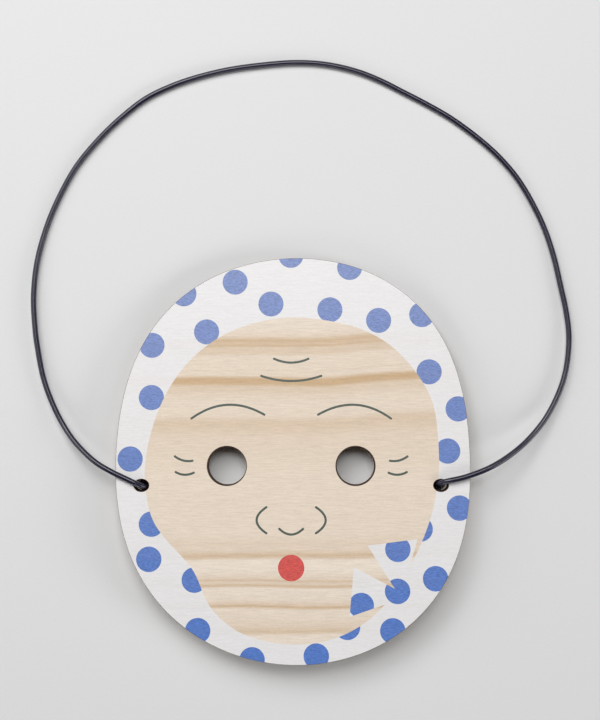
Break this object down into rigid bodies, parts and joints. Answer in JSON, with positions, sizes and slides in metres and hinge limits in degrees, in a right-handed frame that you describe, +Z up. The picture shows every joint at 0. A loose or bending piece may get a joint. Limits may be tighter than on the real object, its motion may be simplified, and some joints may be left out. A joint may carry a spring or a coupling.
{
  "type": "flat wooden folk mask",
  "caption": "Flat egg-shaped wooden folk mask with a printed front, round eye holes and an elastic cord through two small side holes, lying face up.",
  "frame": {"origin": "on the table under the middle of the wooden board, at the height that the board rests on", "axes": "+X to the viewer's right, +Y from the chin to the forehead, +Z up out of the printed front"},
  "size_m": [0.2551, 0.2828, 0.017],
  "materials": {
    "printed_wood": "planed softwood with a satin ink print on the front",
    "elastic": "tightly braided round elastic"
  },
  "bodies": {
    "root": {"mask_board": "printed_wood", "elastic_cord": "elastic", "knot_left": "elastic", "knot_right": "elastic"}
  },
  "joints": []
}
